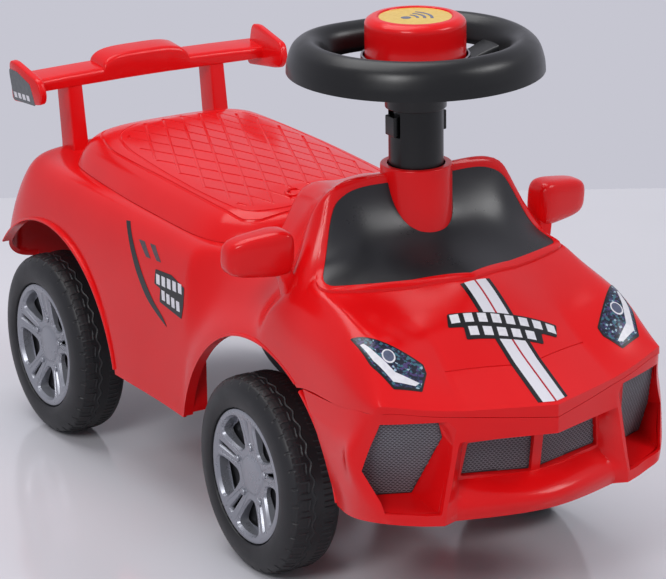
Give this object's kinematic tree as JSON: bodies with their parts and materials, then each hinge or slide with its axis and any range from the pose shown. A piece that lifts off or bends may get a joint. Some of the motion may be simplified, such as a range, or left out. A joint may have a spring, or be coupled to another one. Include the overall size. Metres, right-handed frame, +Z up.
{
  "type": "kids push car",
  "caption": "Ride-on push car for small children: steered front wheels, lidded seat over a storage tub, rear wing, mirrors and a steering wheel with a horn button.",
  "frame": {"origin": "on the ground under the middle of the bounding box, between the wheels", "axes": "+Z up, the nose points along -Y, +X is the car's left side"},
  "size_m": [0.296, 0.644, 0.3959],
  "materials": {
    "red_plastic": "glossy moulded polypropylene",
    "horn_red": "glossy, yellow disc on top",
    "black_plastic": "satin black",
    "panel_black": "high gloss",
    "mesh_grey": "woven pattern",
    "wheel_grey": "satin silver grey",
    "washer_grey": "satin",
    "wheel_black": "satin black, treaded",
    "steel": "zinc plated"
  },
  "bodies": {
    "shell": {"body_shell": "red_plastic", "front_bumper": "red_plastic", "windshield_panel": "panel_black", "intake_mesh_left": "mesh_grey", "intake_mesh_right": "mesh_grey", "grille_mesh_left": "mesh_grey", "grille_mesh_right": "mesh_grey", "mirror_left": "red_plastic", "mirror_right": "red_plastic", "rear_wing": "red_plastic", "storage_tub": "black_plastic", "tub_screw_1": "steel", "tub_screw_2": "steel", "tub_screw_3": "steel", "tub_screw_4": "steel", "bumper_screw_left": "steel", "bumper_screw_right": "steel", "lid_pin_left": "steel", "lid_pin_right": "steel", "rear_axle": "steel", "rear_axle_mount_left": "black_plastic", "rear_axle_mount_right": "black_plastic", "push_nut_rear_left": "steel", "push_nut_rear_right": "steel"},
    "seat": {"seat_lid": "red_plastic"},
    "steering": {"steering_yoke": "black_plastic", "thrust_washer": "washer_grey", "column_screw": "steel", "steering_column": "black_plastic", "steering_wheel": "black_plastic", "front_axle": "steel", "horn_bellows": "black_plastic", "horn_spring": "steel", "push_nut_front_left": "steel", "push_nut_front_right": "steel"},
    "horn": {"horn_cap": "horn_red"},
    "wheel_front_left": {"wheel_front_left": "wheel_black", "wheel_cover_front_left": "wheel_grey"},
    "wheel_front_right": {"wheel_front_right": "wheel_black", "wheel_cover_front_right": "wheel_grey"},
    "wheel_rear_left": {"wheel_rear_left": "wheel_black", "wheel_cover_rear_left": "wheel_grey"},
    "wheel_rear_right": {"wheel_rear_right": "wheel_black", "wheel_cover_rear_right": "wheel_grey"}
  },
  "joints": [
    {"name": "steering_turn", "type": "hinge", "parent": "shell", "child": "steering", "pos_m": [0, -0.1416, 0.094], "axis": [0, 0, 1], "range_deg": [-14, 14]},
    {"name": "seat_hinge", "type": "hinge", "parent": "shell", "child": "seat", "pos_m": [0, 0.2685, 0.214], "axis": [-1, 0, 0], "range_deg": [0, 50]},
    {"name": "horn_press", "type": "slide", "parent": "steering", "child": "horn", "axis": [0, 0, -1], "range_m": [0, 0.003], "stiffness_N_per_m": 500, "springref_m": -0.003},
    {"name": "wheel_front_left_spin", "type": "hinge", "parent": "steering", "child": "wheel_front_left", "pos_m": [0.1092, -0.1164, 0.072], "axis": [1, 0, 0], "continuous": true},
    {"name": "wheel_front_right_spin", "type": "hinge", "parent": "steering", "child": "wheel_front_right", "pos_m": [-0.1092, -0.1164, 0.072], "axis": [1, 0, 0], "continuous": true},
    {"name": "wheel_rear_left_spin", "type": "hinge", "parent": "shell", "child": "wheel_rear_left", "pos_m": [0.1092, 0.2179, 0.072], "axis": [1, 0, 0], "continuous": true},
    {"name": "wheel_rear_right_spin", "type": "hinge", "parent": "shell", "child": "wheel_rear_right", "pos_m": [-0.1092, 0.2179, 0.072], "axis": [1, 0, 0], "continuous": true}
  ]
}
